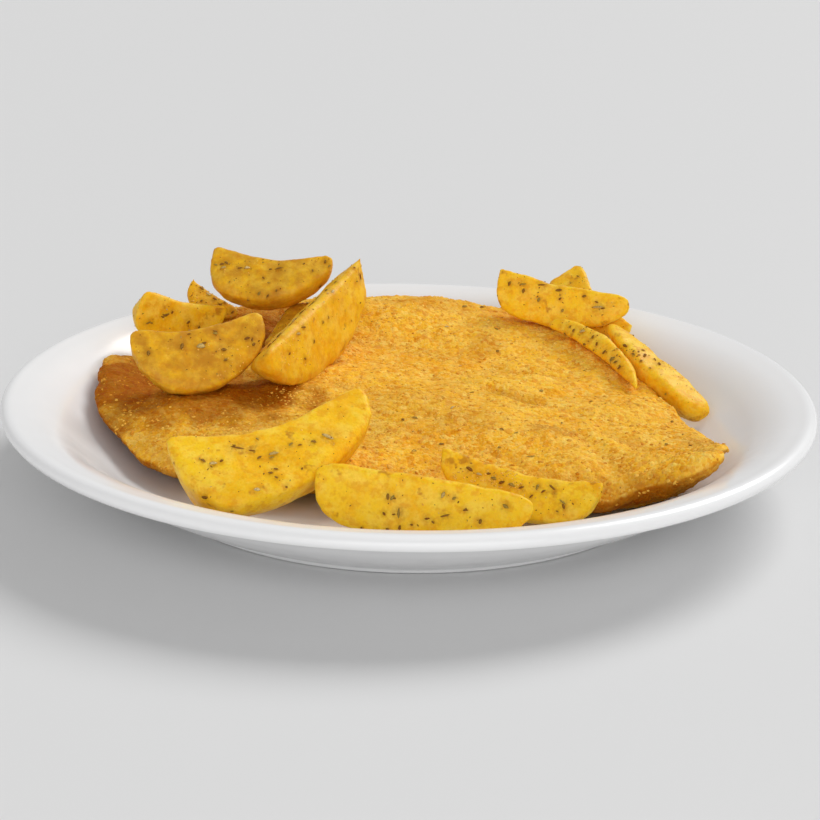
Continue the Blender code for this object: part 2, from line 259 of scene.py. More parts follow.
# ---------------------------------------------------------------- layers of colour patches
# For each: colour, size in metres, share covered, softness of its edge, strength, and the offset
# that keeps its pattern apart from the others'.
CRUST_PATCHES = (
    ((0.90, 0.41, 0.012), 0.03, 0.4, 0.12, 1.0, (0, 0, 0)),
    ((0.96, 0.56, 0.07), 0.012, 0.42, 0.1, 0.6, (3, 1, 2)),
)
POTATO_PATCHES = (
    ((0.94, 0.49, 0.006), 0.014, 0.42, 0.12, 1.0, (0, 0, 0)),
    ((0.98, 0.68, 0.09), 0.005, 0.4, 0.1, 0.5, (4, 3, 8)),
    ((0.80, 0.35, 0.006), 0.003, 0.34, 0.08, 0.62, (1, 5, 2)),
    ((0.50, 0.20, 0.012), 0.006, 0.1, 0.05, 0.8, (7, 2, 4)),
)


# ---------------------------------------------------------------- meshes


def link(name, mesh, material):
    """A new object of the mesh in the scene, in one material."""
    mesh.materials.clear()
    mesh.materials.append(material)
    piece = bpy.data.objects.new(name, mesh)
    bpy.context.scene.collection.objects.link(piece)
    return piece


def applied(piece):
    """The piece with its modifiers made part of its mesh."""
    graph = bpy.context.evaluated_depsgraph_get()
    mesh = bpy.data.meshes.new_from_object(piece.evaluated_get(graph))
    piece.modifiers.clear()
    piece.data = mesh
    return piece


def smoothed(piece, times):
    """The piece with its edges eased this many times, and its other modifiers applied."""
    ease = piece.modifiers.new("ease", "SMOOTH")
    ease.factor = 0.5
    ease.iterations = times
    return applied(piece)


def remeshed_node(name, node, voxel, material):
    """A copy of a solid's mesh in even small faces, with its edges eased."""
    piece = link(name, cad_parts[node].data.copy(), material)
    weld = piece.modifiers.new("weld", "WELD")
    weld.merge_threshold = WELD_DISTANCE
    remesh = piece.modifiers.new("even", "REMESH")
    remesh.mode = "VOXEL"
    remesh.voxel_size = voxel
    smoothed(piece, EDGE_SMOOTHINGS)
    fill_box(piece.data, *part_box(node))
    piece.data.shade_smooth()
    return piece


def fill_box(mesh, low, high):
    """Stretches the mesh a little, so that the smoothing doesn't leave it smaller than its node."""
    place = coordinates(mesh)
    least, most = place.min(0), place.max(0)
    share = (place - least) / (most - least)
    move_points(mesh, np.array(low) + share * np.array(high - low))


def coordinates(mesh):
    """The mesh's vertices as an array."""
    flat = np.empty(len(mesh.vertices) * 3, np.float32)
    mesh.vertices.foreach_get("co", flat)
    return flat.reshape(-1, 3)


def move_points(mesh, place):
    """Puts the mesh's vertices at these places."""
    mesh.vertices.foreach_set("co", place.ravel().astype(np.float32))
    mesh.update()


def normals_of(mesh):
    """The mesh's vertex normals as an array."""
    flat = np.empty(len(mesh.vertices) * 3, np.float32)
    mesh.vertices.foreach_get("normal", flat)
    return flat.reshape(-1, 3)


def raise_surface(mesh, height):
    """Moves each vertex along its normal by height(place)."""
    place, normals = coordinates(mesh), normals_of(mesh)
    rise = np.array([height(Vector(point)) for point in place], np.float32)
    move_points(mesh, place + normals * rise[:, None])


def vertex_value(mesh, name, values):
    """Stores one number a vertex under a name that materials can read."""
    layer = mesh.attributes.new(name, "FLOAT", "POINT")
    layer.data.foreach_set("value", np.asarray(values, np.float32))


def convexity(mesh, spread):
    """How far each vertex stands out of its neighbours: about 0 on flats, 1 on sharp ridges."""
    place = coordinates(mesh).astype(float)
    ends = np.empty(len(mesh.edges) * 2, np.int32)
    mesh.edges.foreach_get("vertices", ends)
    a, b = ends.reshape(-1, 2).T
    count = np.bincount(np.concatenate((a, b)), minlength=len(place)).astype(float)[:, None]

    def neighbour_mean(values):
        total = np.zeros_like(values)
        np.add.at(total, a, values[b])
        np.add.at(total, b, values[a])
        return total / count

    smooth = place
    for _ in range(spread):
        smooth = neighbour_mean(smooth)
    out = ((place - smooth) * normals_of(mesh)).sum(1)[:, None]
    for _ in range(2):
        out = neighbour_mean(out)
    return np.clip(out[:, 0] / (0.6 * MM), 0, 1)


# ---------------------------------------------------------------- material building blocks


def add_node(tree, kind, settings=None, **inputs):
    """A shader node with its settings, and its inputs set or linked by socket name."""
    node = tree.nodes.new("ShaderNode" + kind)
    for key, value in (settings or {}).items():
        setattr(node, key, value)
    for key, value in inputs.items():
        plug(tree, node.inputs[key.replace("_", " ")], value)
    return node


def plug(tree, socket, value):
    """Links an output to the socket, or sets the socket to a plain value."""
    if isinstance(value, bpy.types.NodeSocket):
        tree.links.new(value, socket)
    else:
        socket.default_value = value


def colour_mix(tree, factor, low, high, blend="MIX"):
    """The colour between two colours, or two colours blended, by a factor."""
    node = tree.nodes.new("ShaderNodeMix")
    node.data_type = "RGBA"
    node.blend_type = blend
    plug(tree, node.inputs["Factor"], factor)
    plug(tree, node.inputs[6], low)
    plug(tree, node.inputs[7], high)
    return node.outputs[2]


def maths(tree, operation, a, b, clamp=False):
    """The result of an operation on two values, each a number or an output."""
    node = add_node(tree, "Math", {"operation": operation, "use_clamp": clamp})
    plug(tree, node.inputs[0], a)
    plug(tree, node.inputs[1], b)
    return node.outputs[0]


def ranged(tree, value, low, high, to_low=0.0, to_high=1.0, curve="LINEAR"):
    """The value carried from one range to another and held at its ends."""
    settings = {"interpolation_type": curve}
    limits = {"From_Min": low, "From_Max": high, "To_Min": to_low, "To_Max": to_high}
    return add_node(tree, "MapRange", settings, Value=value, **limits).outputs["Result"]


def object_place(tree):
    """The place on the object, for patterns that stay with it."""
    return add_node(tree, "TexCoord").outputs["Object"]


def stored(tree, name):
    """A number that the mesh stores at each vertex."""
    return add_node(tree, "Attribute", {"attribute_name": name}).outputs["Fac"]


def cloudy(tree, place, scale, detail, roughness=0.5):
    """Soft noise over the surface, mostly between 0.3 and 0.7."""
    settings = {"Scale": scale, "Detail": detail, "Roughness": roughness}
    return add_node(tree, "TexNoise", Vector=place, **settings).outputs["Fac"]


def new_group(name, inputs, outputs):
    """An empty node group with named sockets, and its input and output nodes."""
    group = bpy.data.node_groups.new(name, "ShaderNodeTree")
    for label, kind, value in inputs:
        socket = group.interface.new_socket(label, in_out="INPUT", socket_type="NodeSocket" + kind)
        socket.default_value = value
    for label, kind in outputs:
        group.interface.new_socket(label, in_out="OUTPUT", socket_type="NodeSocket" + kind)
    return group, group.nodes.new("NodeGroupInput"), group.nodes.new("NodeGroupOutput")


def place_group(tree, group, **inputs):
    """The group as a node in a material, with its inputs set or linked."""
    node = tree.nodes.new("ShaderNodeGroup")
    node.node_tree = group
    for key, value in inputs.items():
        plug(tree, node.inputs[key.replace("_", " ")], value)
    return node


def make_patches_group():
    """Soft-edged patches of a second colour: how much of it, how large and how sharp."""
    group, source, result = new_group(
        "colour patches",
        (
            ("Colour", "Color", (1, 1, 1, 1)),
            ("Patch Colour", "Color", (0, 0, 0, 1)),
            ("Size", "Float", 0.01),
            ("Cover", "Float", 0.5),
            ("Softness", "Float", 0.2),
            ("Strength", "Float", 1.0),
            ("Offset", "Vector", (0, 0, 0)),
        ),
        (("Colour", "Color"),),
    )
    moved = add_node(group, "VectorMath", {"operation": "ADD"})
    plug(group, moved.inputs[0], object_place(group))
    plug(group, moved.inputs[1], source.outputs["Offset"])
    scale = maths(group, "DIVIDE", 1, source.outputs["Size"])
    pattern = cloudy(group, moved.outputs[0], scale, 3.0, 0.55)
    # The cover moves the threshold across the band that most of the noise lies in.
    edge = ranged(group, source.outputs["Cover"], 0.0, 1.0, 0.72, 0.28)
    low = maths(group, "SUBTRACT", edge, source.outputs["Softness"])
    high = maths(group, "ADD", edge, source.outputs["Softness"])
    mask = ranged(group, pattern, low, high, curve="SMOOTHSTEP")
    strength = maths(group, "MULTIPLY", mask, source.outputs["Strength"])
    colour = colour_mix(group, strength, source.outputs["Colour"], source.outputs["Patch Colour"])
    plug(group, result.inputs["Colour"], colour)
    return group


def make_crumb_group():
    """Cells like packed crumbs: each cell's own tone tints the colour, and its dome is a height."""
    group, source, result = new_group(
        "crumb grain",
        (
            ("Colour", "Color", (1, 1, 1, 1)),
            ("Pale", "Color", (1, 1, 1, 1)),
            ("Dark", "Color", (0, 0, 0, 1)),
            ("Size", "Float", 0.001),
            ("Tint", "Float", 0.5),
        ),
        (("Colour", "Color"), ("Height", "Float")),
    )
    scale = maths(group, "DIVIDE", 1, source.outputs["Size"])
    cells = add_node(group, "TexVoronoi", Vector=object_place(group), Scale=scale, Randomness=1.0)
    tone = add_node(group, "SeparateColor", Color=cells.outputs["Color"])
    colour = source.outputs["Colour"]
    for tint, channel, least in (("Pale", 0, 0.55), ("Dark", 1, 0.6)):
        share = ranged(group, tone.outputs[channel], least, 1.0)
        amount = maths(group, "MULTIPLY", share, source.outputs["Tint"])
        colour = colour_mix(group, amount, colour, source.outputs[tint])
    plug(group, result.inputs["Colour"], colour)
    plug(group, result.inputs["Height"], ranged(group, cells.outputs["Distance"], 0.0, 0.8, 1.0, 0.0))
    return group


def make_fleck_group():
    """The colour between two by each scattered thing's own tone, with a fleck that is a height too."""
    group, source, result = new_group(
        "flecked tone",
        (("Low", "Color", (0, 0, 0, 1)), ("High", "Color", (1, 1, 1, 1))),
        (("Colour", "Color"), ("Height", "Float")),
    )
    colour = colour_mix(group, stored(group, "tone"), source.outputs["Low"], source.outputs["High"])
    fleck = cloudy(group, object_place(group), 2500.0, 2.0)
    shade = ranged(group, fleck, 0.3, 0.7, 0.7, 1.2)
    grey = add_node(group, "CombineColor", Red=shade, Green=shade, Blue=shade)
    plug(group, result.inputs["Colour"], colour_mix(group, 1.0, colour, grey.outputs[0], "MULTIPLY"))
    plug(group, result.inputs["Height"], fleck)
    return group


def new_material(name, roughness, specular=0.5):
    """A material with its Principled shader at the given roughness."""
    material = bpy.data.materials.new(name)
    material.use_nodes = True
    shader = material.node_tree.nodes["Principled BSDF"]
    shader.inputs["Roughness"].default_value = roughness
    shader.inputs["Specular IOR Level"].default_value = specular
    return material, material.node_tree, shader


def soften(shader, weight, depth):
    """Lets light soak a little way into the surface, red furthest."""
    shader.inputs["Subsurface Weight"].default_value = weight
    shader.inputs["Subsurface Radius"].default_value = (1.0, 0.45, 0.12)
    shader.inputs["Subsurface Scale"].default_value = depth


def bump(tree, shader, height, distance, strength=1.0):
    """Fine relief of this depth under the shader's normal."""
    node = add_node(tree, "Bump", Height=height, Strength=strength, Distance=distance)
    plug(tree, shader.inputs["Normal"], node.outputs["Normal"])


def rgba(red, green, blue):
    """An opaque colour."""
    return (red, green, blue, 1)


def layered(tree, patches, colour, layers):
    """The colour with layers of patches over it."""
    for tint, size, cover, softness, strength, offset in layers:
        settings = {"Size": size, "Cover": cover, "Softness": softness, "Strength": strength}
        layer = place_group(
            tree, patches, Colour=colour, Patch_Colour=rgba(*tint), Offset=offset, **settings
        )
        colour = layer.outputs["Colour"]
    return colour


# ---------------------------------------------------------------- materials


def make_porcelain():
    """White glaze, with a faint pooling of its tone and a hardly visible unevenness."""
    material, tree, shader = new_material("white_glaze", 0.12)
    where = object_place(tree)
    pool = cloudy(tree, where, 18.0, 2.0)
    colour = colour_mix(tree, pool, rgba(0.86, 0.86, 0.865), rgba(0.90, 0.90, 0.90))
    plug(tree, shader.inputs["Base Color"], colour)
    rough = ranged(tree, cloudy(tree, where, 60.0, 4.0), 0.3, 0.7, 0.16, 0.26)
    plug(tree, shader.inputs["Roughness"], rough)
    bump(tree, shader, pool, 0.1 * MM, 0.4)
    return material


def make_crust(patches, crumbs):
    """Fried breadcrumb: golden orange, paler crumbs, deeper patches, a browned lower edge that is partly
    painted shade, and painted shade in folds, creases and the zones under the wedges.
    """
    material, tree, shader = new_material("fried_crust", 0.6, 0.05)
    coarse = place_group(
        tree,
        crumbs,
        Colour=layered(tree, patches, rgba(0.97, 0.52, 0.030), CRUST_PATCHES),
        Pale=rgba(0.99, 0.68, 0.15),
        Dark=rgba(0.72, 0.24, 0.004),
        Size=2.0 * MM,
        Tint=0.7,
    )
    fine = place_group(
        tree,
        crumbs,
        Colour=coarse.outputs["Colour"],
        Pale=rgba(0.97, 0.62, 0.12),
        Dark=rgba(0.74, 0.27, 0.004),
        Size=0.9 * MM,
        Tint=0.55,
    )
    # A dark brown multiplied in by the stored value: fried browning, and painted shade in folds, creases and
    # under the wedges.
    fried_and_shade = rgba(0.40, 0.205, 0.03)
    colour = colour_mix(tree, stored(tree, "browned_and_shade"), fine.outputs["Colour"], fried_and_shade, "MULTIPLY")
    plug(tree, shader.inputs["Base Color"], colour)
    relief = maths(tree, "ADD", coarse.outputs["Height"], fine.outputs["Height"])
    bump(tree, shader, relief, 0.28 * MM, 0.8)
    soften(shader, 0.25, 1.5 * MM)
    return material


def make_potato(patches, crumbs):
    """Roast potato: oiled golden yellow with deeper patches, paler ridges that are a painted sheen, dry
    brown patches and browned ridges that are partly painted shade, and a mealy grain.
    """
    material, tree, shader = new_material("oiled_potato", 0.42, 0.15)
    where = object_place(tree)
    grain = place_group(
        tree,
        crumbs,
        Colour=layered(tree, patches, rgba(0.97, 0.59, 0.014), POTATO_PATCHES),
        Pale=rgba(0.96, 0.66, 0.07),
        Dark=rgba(0.78, 0.40, 0.008),
        Size=0.8 * MM,
        Tint=0.3,
    )
    # Paler colour along the ridges: a painted oil sheen.
    edge = ranged(tree, stored(tree, "ridge"), 0.4, 1.0, 0.0, 0.3)
    colour = colour_mix(tree, edge, grain.outputs["Colour"], rgba(0.92, 0.60, 0.06))
    uneven = ranged(tree, cloudy(tree, where, 170.0, 4.0, 0.6), 0.35, 0.65, 0.35, 1.3)
    # Dry brown patches, partly painted shade on the wedges that lie in shadow.
    dry_and_shade = maths(tree, "MULTIPLY", stored(tree, "dried_and_shade"), uneven, clamp=True)
    colour = colour_mix(tree, dry_and_shade, colour, rgba(0.56, 0.24, 0.012))
    broken = ranged(tree, cloudy(tree, where, 900.0, 3.0), 0.35, 0.62, 0.25, 1.0)
    stain = maths(tree, "MULTIPLY", stored(tree, "stain"), broken)
    colour = colour_mix(tree, stain, colour, rgba(0.42, 0.16, 0.010))
    plug(tree, shader.inputs["Base Color"], colour)
    bump(tree, shader, grain.outputs["Height"], 0.12 * MM, 0.5)
    soften(shader, 0.3, 2 * MM)
    return material


def make_toned(flecks, name, low, high, roughness):
    """A material between two colours by each scattered thing's own tone, with a fine fleck."""
    material, tree, shader = new_material(name, roughness, 0.12)
    toned = place_group(tree, flecks, Low=low, High=high)
    plug(tree, shader.inputs["Base Color"], toned.outputs["Colour"])
    bump(tree, shader, toned.outputs["Height"], 0.08 * MM)
    return material


# ---------------------------------------------------------------- plate


def section_points():
    """The plate's closed profile as (radius, height), read where its mesh crosses +X."""
    shape = bmesh.new()
    shape.from_mesh(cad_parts["plate"].data)
    bmesh.ops.remove_doubles(shape, verts=shape.verts, dist=WELD_DISTANCE)
    shape.normal_update()
    cut = [v for v in shape.verts if abs(v.co.y) < WELD_DISTANCE and v.co.x > -WELD_DISTANCE]
    upper = sorted((v.co.x, v.co.z) for v in cut if v.normal.z > 0)
    lower = sorted(((v.co.x, v.co.z) for v in cut if v.normal.z <= 0), reverse=True)
    shape.free()
    # The flat floor and the flat underside have no vertex on the axis.
    return [(0, upper[0][1])] + upper + lower + [(0, lower[-1][1])]


def eased(points, substeps):
    """The points with a smooth curve laid through them, in this many steps between each two."""
    points = np.array(points)
    chord = np.linalg.norm(np.diff(points, axis=0), axis=1)
    slope = np.zeros_like(points)
    slope[1:-1] = (points[2:] - points[:-2]) / (chord[1:] + chord[:-1])[:, None]
    slope[0, 0], slope[-1, 0] = 1, -1
    result = []
    for i, length in enumerate(chord):
        for t in np.arange(substeps) / substeps:
            result.append(
                (2 * t**3 - 3 * t**2 + 1) * points[i]
                + (t**3 - 2 * t**2 + t) * length * slope[i]
                + (3 * t**2 - 2 * t**3) * points[i + 1]
                + (t**3 - t**2) * length * slope[i + 1]
            )
    return result + [points[-1]]


def make_plate(material):
    """The plate turned again from its own profile, in fine steps."""
    profile = section_points()
    low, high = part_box("plate")
    path = [(min(max(r, 0), high.x), 0, max(z, low.z)) for r, z in eased(profile, PROFILE_SUBSTEPS)]
    # The path runs down the outer side, so that the turned faces point out.
    mesh = bpy.data.meshes.new("glazed_plate")
    mesh.from_pydata(path, [(i, i + 1) for i in range(len(path) - 1)], [])
    piece = link("glazed_plate", mesh, material)
    turn = piece.modifiers.new("turn", "SCREW")
    turn.axis = "Z"
    turn.steps = PLATE_STEPS
    turn.render_steps = PLATE_STEPS
    turn.use_merge_vertices = True
    turn.merge_threshold = WELD_DISTANCE
    applied(piece)
    piece.data.shade_smooth()
    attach(piece, "root")
    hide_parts("plate")
    return piece


# ---------------------------------------------------------------- schnitzel


def smoothstep(low, high, values):
    """0 at low, 1 at high and beyond, and a smooth change between them, for an array."""
    t = np.clip((values - low) / (high - low), 0, 1)
    return t * t * (3 - 2 * t)


def outline_share(place):
    """Each point's bearing and reach from the crust's centre, and its share of the outline's reach."""
    offset = place[:, :2] - CRUST_CENTRE
    reach = np.hypot(*offset.T)
    bearing = np.degrees(np.arctan2(offset[:, 1], offset[:, 0])) % 360
    step = bearing.astype(int) % 360
    edge = np.zeros(360)
    np.maximum.at(edge, step, reach)
    edge = np.convolve(np.concatenate((edge[-3:], edge, edge[:3])), np.full(7, 1 / 7), "valid")
    return bearing, reach, np.clip(reach / edge[step], 0, 1)


def hollow(place, start, end, width):
    """How near each point lies to the line between two points, seen from above: 1 on it, 0 far off."""
    start, end = np.array(start) * MM, np.array(end) * MM
    along = end - start
    share = np.clip(((place[:, :2] - start) @ along) / max(along @ along, 1e-9), 0, 1)
    off = np.hypot(*(place[:, :2] - start - share[:, None] * along).T)
    return np.exp(-((off / (width * MM)) ** 2))


def in_fold(bearing, fold, width):
    """How near each bearing lies to a fold: 1 in it, 0 far off."""
    off = (bearing - fold + 180) % 360 - 180
    return np.exp(-((off / width) ** 2))


def shape_crust(mesh):
    """The crust's broad form: soft waves, a rounded edge, folds in it, creases and dents on top."""
    place, normals = coordinates(mesh).astype(float), normals_of(mesh)
    bearing, reach, share = outline_share(place)
    top = smoothstep(0.0, 0.6, normals[:, 2])
    # The waves are longer from left to right than from front to back.
    skewed = [Vector((x * 0.45 + y * 0.3, y - x * 0.35, z)) for x, y, z in place]
    wave = np.array([noise.noise(point / (17 * MM)) for point in skewed])
    lump = np.array([noise.noise(Vector(point) / (8 * MM)) for point in place])
    rise = (1.4 + 1.5 * wave + 0.8 * lump) * MM * top * (1 - 0.6 * smoothstep(0.8, 1.0, share))
    rise -= EDGE_DROP * smoothstep(0.86, 1.04, share) ** 1.6 * smoothstep(-0.1, 0.45, normals[:, 2])
    for x1, y1, x2, y2, width, depth in CREASES:
        rise -= hollow(place, (x1, y1), (x2, y2), width) * depth * MM * top
    for x, y, radius, depth in DENTS:
        rise -= hollow(place, (x, y), (x, y), radius) * depth * MM * top
    for fold, width, depth in FOLDS:
        groove = in_fold(bearing, fold, width) * depth * MM
        rise -= groove * 0.5 * smoothstep(0.62, 0.93, share) * top
        pull = groove * smoothstep(0.82, 1.0, share)
        place[:, :2] -= (place[:, :2] - CRUST_CENTRE) / np.maximum(reach, MM)[:, None] * pull[:, None]
    # The side bulges, so that the edge stays blunt.
    bulge = SIDE_BULGE * smoothstep(0.86, 1.0, share) * (1 - np.abs(normals[:, 2]))
    place[:, :2] += (place[:, :2] - CRUST_CENTRE) / np.maximum(reach, MM)[:, None] * bulge[:, None]
    place[:, 2] += rise
    move_points(mesh, place)


def browning_and_shade(mesh):
    """How dark the crust is at each vertex: darker where its side turns down at the edge, partly fried
    browning and partly painted shade; painted shade in folds and creases and lighter along ridges; and the
    zones, mostly painted shadow under the wedges.
    """
    place, normals = coordinates(mesh).astype(float), normals_of(mesh)
    bearing, _, share = outline_share(place)
    patchy = np.array([noise.noise(Vector(point) / (7 * MM)) for point in place])
    amount = 0.62 * smoothstep(0.7, -0.2, normals[:, 2] + 0.25 * patchy) * smoothstep(0.8, 0.96, share)
    # Painted shade in folds and creases, darker the deeper they are; a negative depth paints a ridge
    # lighter.
    for fold, width, depth in FOLDS:
        amount += 0.09 * depth * in_fold(bearing, fold, 0.6 * width) * smoothstep(0.82, 0.95, share)
    for x1, y1, x2, y2, width, depth in CREASES:
        amount += 0.12 * depth * hollow(place, (x1, y1), (x2, y2), 0.6 * width)
    # The zones: mostly painted shadow cast by the wedges and in the gaps under them, some darker-fried
    # patches.
    for x, y, wide, deep, dark in BROWN_AND_SHADE_ZONES:
        off = np.hypot((place[:, 0] / MM - x) / wide, (place[:, 1] / MM - y) / deep)
        amount += dark * smoothstep(1.25, 0.6, off + 0.35 * patchy)
    return np.clip(amount, 0, 0.95)


def shade_and_fried_share(place):
    """How deep a place lies in one of the darker zones, from 0 to 1; most of these zones are painted shadow
    under the wedges.
    """
    shares = [
        (1 - min(math.hypot((place.x / MM - x) / wide, (place.y / MM - y) / deep), 1)) * dark
        for x, y, wide, deep, dark in BROWN_AND_SHADE_ZONES
    ]
    return min(2 * max(shares), 1)


def crust_height(place):
    """The crust's relief: lumps, packed crumbs and a fine roughness."""
    lumps = noise.fractal(place / (5 * MM), 0.8, 2.0, 2) * 0.45 * MM
    near = noise.voronoi(place / (2.4 * MM))[0][0]
    crumb = max(0.0, 0.55 - near) * 0.75 * MM
    rough = noise.noise(place / (1.2 * MM)) * 0.12 * MM
    return lumps + crumb + rough


def make_schnitzel(material):
    """The schnitzel with its crumbed relief, browned where it meets the plate, partly as painted shade, with
    painted shade in its folds, creases and under the wedges.
    """
    piece = remeshed_node("crumbed_schnitzel", "schnitzel", CRUST_VOXEL, material)
    shape_crust(piece.data)
    smoothed(piece, FOLD_SMOOTHINGS)
    raise_surface(piece.data, crust_height)
    thin_underside(piece)
    # Stores the crust's browning together with its painted shade.
    vertex_value(piece.data, "browned_and_shade", browning_and_shade(piece.data))
    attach(piece, "root")
    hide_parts("schnitzel")
    return piece


def thin_underside(piece):
    """Coarser faces below, where the crust lies on the plate."""
    group = piece.vertex_groups.new(name="underside")
    below = np.flatnonzero(normals_of(piece.data)[:, 2] < -0.5)
    group.add(below.tolist(), 1.0, "REPLACE")
    thin = piece.modifiers.new("thin", "DECIMATE")
    thin.ratio = UNDERSIDE_SHARE
    thin.vertex_group = "underside"
    applied(piece)
    piece.vertex_groups.clear()


# ---------------------------------------------------------------- potato wedges


def make_wedge(node, index, material):
    """One wedge: eased edges, a slightly shrunken, uneven skin and a mealy surface."""
    piece = remeshed_node("roast_" + node, node, WEDGE_VOXEL, material)
    shift = Vector((index * 0.37, index * 0.11, 0))

    def height(place):
        away = place + shift
        swell = noise.fractal(away / (11 * MM), 0.9, 2.0, 2) * 0.7 * MM
        ripple = noise.noise(away / (3.2 * MM)) * 0.16 * MM
        grain = noise.noise(away / (1.2 * MM)) * 0.06 * MM
        return swell + ripple + grain + 0.3 * MM

    raise_surface(piece.data, height)
    place = coordinates(piece.data)
    place[:, 2] = np.minimum(place[:, 2], CAD_BOX[1][2] - TOP_MARGIN)
    move_points(piece.data, place)
    # The ridge value drives the painted sheen; the dryness, with the brown edges, is partly painted shade.
    ridge, brown = convexity(piece.data, 4), BROWN_AND_SHADED_EDGES.get(node, 0)
    vertex_value(piece.data, "ridge", ridge * (1 - brown))
    vertex_value(piece.data, "dried_and_shade", DRIED_AND_SHADE.get(node, 0) + brown * ridge)
    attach(piece, "root")
    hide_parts(node)
    return piece


# ---------------------------------------------------------------- scattered herbs, pepper, crumbs


def random_places(piece, count, rng, keep):
    """Points spread evenly over the piece's surface where keep(place, normal) holds."""
    mesh = piece.data
    mesh.calc_loop_triangles()
    corners = np.empty(len(mesh.loop_triangles) * 3, np.int32)
    mesh.loop_triangles.foreach_get("vertices", corners)
    corners = coordinates(mesh)[corners.reshape(-1, 3)].astype(float)
    cross = np.cross(corners[:, 1] - corners[:, 0], corners[:, 2] - corners[:, 0])
    area = np.linalg.norm(cross, axis=1)
    found = []
    while len(found) < count:
        picks = rng.choice(len(area), size=count * 3, p=area / area.sum())
        u, v = rng.random((2, count * 3))
        flip = u + v > 1
        u[flip], v[flip] = 1 - u[flip], 1 - v[flip]
        for pick, s, t in zip(picks, u, v):
            a, b, c = corners[pick]
            place = Vector(a + (b - a) * s + (c - a) * t)
            normal = Vector(cross[pick] / max(area[pick], 1e-12))
            if keep(place, normal) and len(found) < count:
                found.append((place, normal))
    return found


def lie_anyhow(place, normal, rng):
    """A frame at a place whose Z is the surface's normal, turned about it at random."""
    base = normal.to_track_quat("Z", "X").to_matrix().to_4x4()
    return Matrix.Translation(place) @ base @ Matrix.Rotation(rng.uniform(0, math.tau), 4, "Z")


def joined(name, shapes, material):
    """One piece from many small closed shapes, each (points, faces, tone)."""
    points, faces, tones = [], [], []
    for shape_points, shape_faces, tone in shapes:
        start = len(points)
        points.extend(shape_points)
        faces.extend(tuple(start + i for i in face) for face in shape_faces)
        tones.extend([tone] * len(shape_points))
    mesh = bpy.data.meshes.new(name)
    mesh.from_pydata(points, [], faces)
    mesh.shade_smooth()
    vertex_value(mesh, "tone", tones)
    piece = link(name, mesh, material)
    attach(piece, "root")
    return piece


def leaf_shape(frame_matrix, length, width, curl, rng):
    """A dried leaf: a thin closed sliver, pointed at its ends, curled along its length."""
    stations = 5
    points = [Vector((-length / 2, 0, 0))]
    for i in range(1, stations):
        t = i / stations
        half = width / 2 * math.sin(math.pi * t) ** 0.6 * rng.uniform(0.75, 1.15)
        x = length * (t - 0.5)
        lift = curl * length * (1 - (2 * t - 1) ** 2)
        thick = 0.06 * MM + 0.08 * half
        points += [
            Vector((x, -half, lift + 0.4 * half)),
            Vector((x, 0, lift + thick)),
            Vector((x, half, lift + 0.4 * half)),
            Vector((x, 0, lift - thick)),
        ]
    points.append(Vector((length / 2, 0, 0)))
    last = len(points) - 1
    faces = []
    for k in range(4):
        after = (k + 1) % 4
        faces.append((0, 1 + after, 1 + k))
        for i in range(stations - 2):
            a = 1 + 4 * i
            faces.append((a + k, a + after, a + 4 + after, a + 4 + k))
        end = 1 + 4 * (stations - 2)
        faces.append((end + k, end + after, last))
    return [frame_matrix @ p for p in points], faces


def grain_points():
    """The points and faces of a small round grain, 1 across."""
    shape = bmesh.new()
    bmesh.ops.create_icosphere(shape, subdivisions=1, radius=0.5)
    points = [v.co.copy() for v in shape.verts]
    faces = [tuple(v.index for v in face.verts) for face in shape.faces]
    shape.free()
    return points, faces


GRAIN_POINTS, GRAIN_FACES = grain_points()


def grain_shape(frame_matrix, size, rng):
    """An uneven grain, flatter than it is wide."""
    stretch = Vector((rng.uniform(0.8, 1.3), rng.uniform(0.6, 1.0), rng.uniform(0.45, 0.8))) * size
    points = [Vector(p * s for p, s in zip(q, stretch)) * rng.uniform(0.8, 1.15) for q in GRAIN_POINTS]
    return [frame_matrix @ point for point in points], GRAIN_FACES


def viewer_axes():
    """The viewer's right, up and forward directions."""
    forward = (CAMERA_TARGET - CAMERA_PLACE).normalized()
    right = forward.cross(Vector((0, 0, 1))).normalized()
    return right, right.cross(forward), forward


def surface_tree(piece):
    """The piece's surface, to find where a line meets it."""
    faces = [tuple(face.vertices) for face in piece.data.polygons]
    return BVHTree.FromPolygons(coordinates(piece.data).astype(float).tolist(), faces)


def seen_places(piece, shares):
    """Where the viewer meets the piece at each share of its width and height: (place, normal)."""
    right, up, forward = viewer_axes()
    place = coordinates(piece.data).astype(float)
    across, rise = place @ np.array(right), place @ np.array(up)
    tree = surface_tree(piece)
    found = []
    for x, y in shares:
        start = right * (across.min() + x * np.ptp(across)) + up * (rise.max() - y * np.ptp(rise)) - forward
        place, normal, _, _ = tree.ray_cast(start, forward)
        found.append((place, normal))
    return found


def dropped_places(piece, spots):
    """Where the piece lies under each (x, y) in mm: (place, normal)."""
    tree = surface_tree(piece)
    found = [tree.ray_cast(Vector((x * MM, y * MM, 1)), Vector((0, 0, -1)))[:2] for x, y in spots]
    return [(place, normal) for place, normal in found if place is not None]


def lie_seen(place, normal, turn):
    """A frame on the surface whose X runs to the viewer's right, turned anticlockwise."""
    x = viewer_axes()[0]
    x = (x - normal * x.dot(normal)).normalized()
    base = Matrix((x, normal.cross(x), normal)).transposed().to_4x4()
    return Matrix.Translation(place) @ base @ Matrix.Rotation(math.radians(turn), 4, "Z")


def herb_shape(matrix, length, width, kind, rng):
    """A herb leaf of a kind as (which piece it joins, (points, faces, tone))."""
    points, faces = leaf_shape(matrix, length, width, rng.uniform(-0.04, 0.1), rng)
    tone = {"brown": rng.uniform(0, 0.4), "olive": rng.uniform(0.7, 1), "pale": rng.random()}[kind]
    return "pale_herbs" if kind == "pale" else "dried_herbs", (points, faces, tone)


